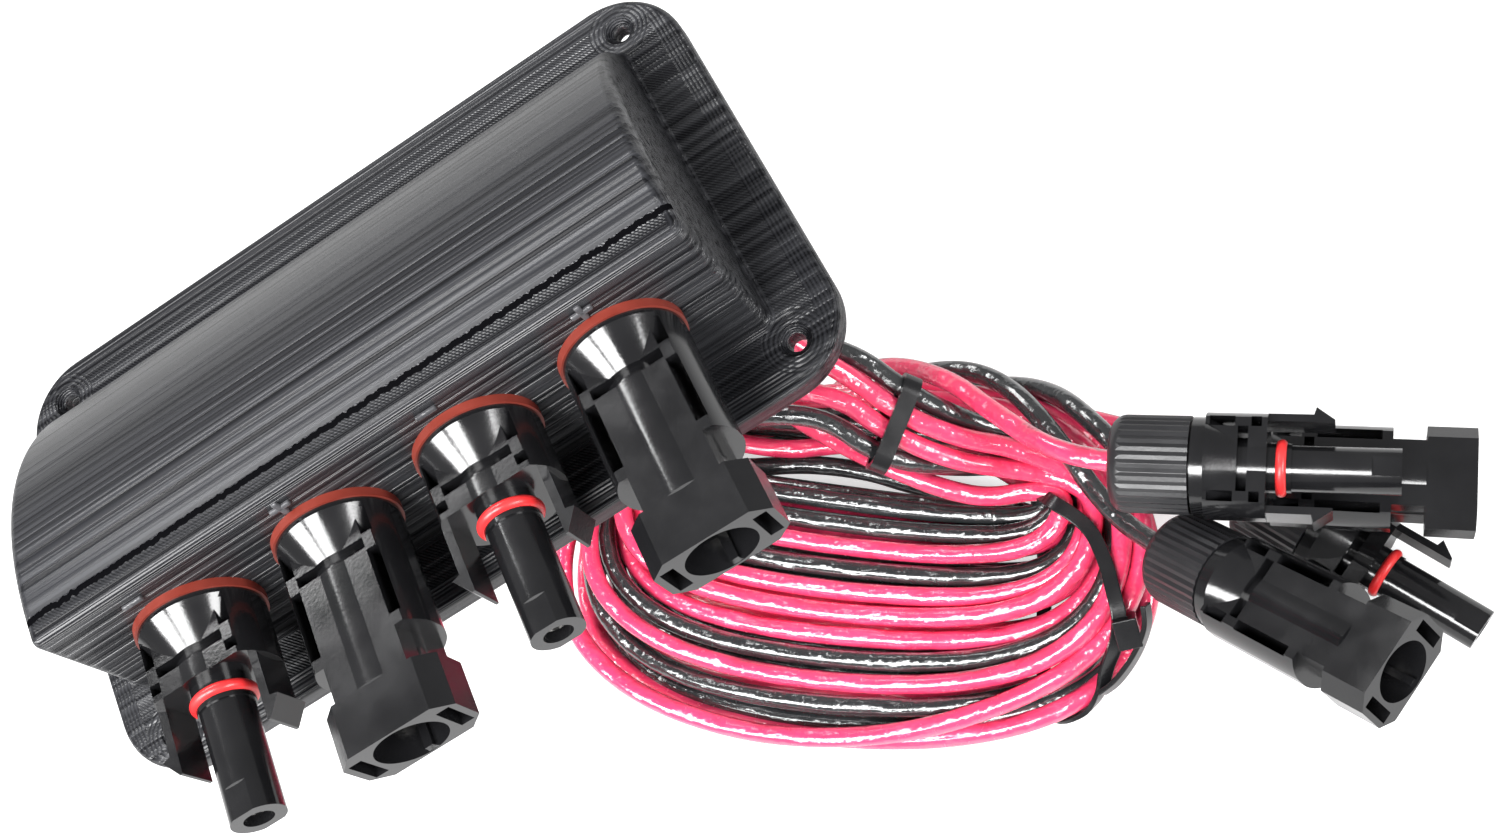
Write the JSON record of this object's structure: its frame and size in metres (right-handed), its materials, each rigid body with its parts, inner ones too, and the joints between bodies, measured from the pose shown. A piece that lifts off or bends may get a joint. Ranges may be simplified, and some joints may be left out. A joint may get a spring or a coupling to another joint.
{
  "type": "cable entry box",
  "caption": "Screw-on cable entry box: a hooded flange with round solar connectors on its face, and coiled red and black leads that end in loose connectors.",
  "frame": {"origin": "centre of the four screw holes on the flange's back face", "axes": "+X along the flange's long side, +Z out of the flange towards the hood's ridge, connectors point towards -Y"},
  "size_m": [0.2247, 0.162, 0.1568],
  "materials": {
    "housing_plastic": "satin",
    "connector_plastic": "gloss",
    "cap_plastic": "satin",
    "gasket_rubber": "matte",
    "o_ring_rubber": "satin",
    "seal_rubber": "matte",
    "contact_metal": "satin",
    "red_wire": "gloss",
    "black_wire": "gloss",
    "tie_nylon": "satin"
  },
  "bodies": {
    "box": {"housing": "housing_plastic", "panel_connector_minus_1": "connector_plastic", "face_gasket_minus_1": "gasket_rubber", "panel_nut_minus_1": "connector_plastic", "panel_contact_minus_1": "contact_metal", "panel_connector_plus_1": "connector_plastic", "face_gasket_plus_1": "gasket_rubber", "panel_nut_plus_1": "connector_plastic", "panel_contact_plus_1": "contact_metal", "panel_connector_minus_2": "connector_plastic", "face_gasket_minus_2": "gasket_rubber", "panel_nut_minus_2": "connector_plastic", "panel_contact_minus_2": "contact_metal", "panel_connector_plus_2": "connector_plastic", "face_gasket_plus_2": "gasket_rubber", "panel_nut_plus_2": "connector_plastic", "panel_contact_plus_2": "contact_metal", "panel_o_ring_minus_1": "o_ring_rubber", "panel_o_ring_minus_2": "o_ring_rubber", "line_connector_minus_1": "connector_plastic", "cable_seal_minus_1": "seal_rubber", "line_contact_minus_1": "contact_metal", "line_connector_plus_1": "connector_plastic", "cable_seal_plus_1": "seal_rubber", "line_contact_plus_1": "contact_metal", "line_connector_minus_2": "connector_plastic", "cable_seal_minus_2": "seal_rubber", "line_contact_minus_2": "contact_metal", "line_connector_plus_2": "connector_plastic", "cable_seal_plus_2": "seal_rubber", "line_contact_plus_2": "contact_metal", "line_o_ring_plus_1": "o_ring_rubber", "line_o_ring_plus_2": "o_ring_rubber", "near_lead_minus_1": "black_wire", "far_lead_minus_1": "black_wire", "near_lead_plus_1": "red_wire", "far_lead_plus_1": "red_wire", "near_lead_minus_2": "black_wire", "far_lead_minus_2": "black_wire", "near_lead_plus_2": "red_wire", "far_lead_plus_2": "red_wire", "wire_coil": "red_wire", "zip_tie_leads": "tie_nylon", "zip_tie_coil": "tie_nylon"},
    "cap_minus_1": {"cap_nut_minus_1": "cap_plastic"},
    "cap_plus_1": {"cap_nut_plus_1": "cap_plastic"},
    "cap_minus_2": {"cap_nut_minus_2": "cap_plastic"},
    "cap_plus_2": {"cap_nut_plus_2": "cap_plastic"}
  },
  "joints": [
    {"name": "cap_turn_minus_1", "type": "hinge", "parent": "box", "child": "cap_minus_1", "pos_m": [0.09771, -0.0786, -0.07962], "axis": [0.385, -0.8001, 0.46], "continuous": true},
    {"name": "cap_turn_plus_1", "type": "hinge", "parent": "box", "child": "cap_plus_1", "pos_m": [0.11862, -0.07076, -0.1074], "axis": [0.4251, -0.9052, 0], "continuous": true},
    {"name": "cap_turn_minus_2", "type": "hinge", "parent": "box", "child": "cap_minus_2", "pos_m": [0.1116, -0.06233, -0.0882], "axis": [0.8139, -0.581, 0], "continuous": true},
    {"name": "cap_turn_plus_2", "type": "hinge", "parent": "box", "child": "cap_plus_2", "pos_m": [0.10055, -0.05961, -0.0692], "axis": [0.8218, -0.5698, 0], "continuous": true}
  ]
}
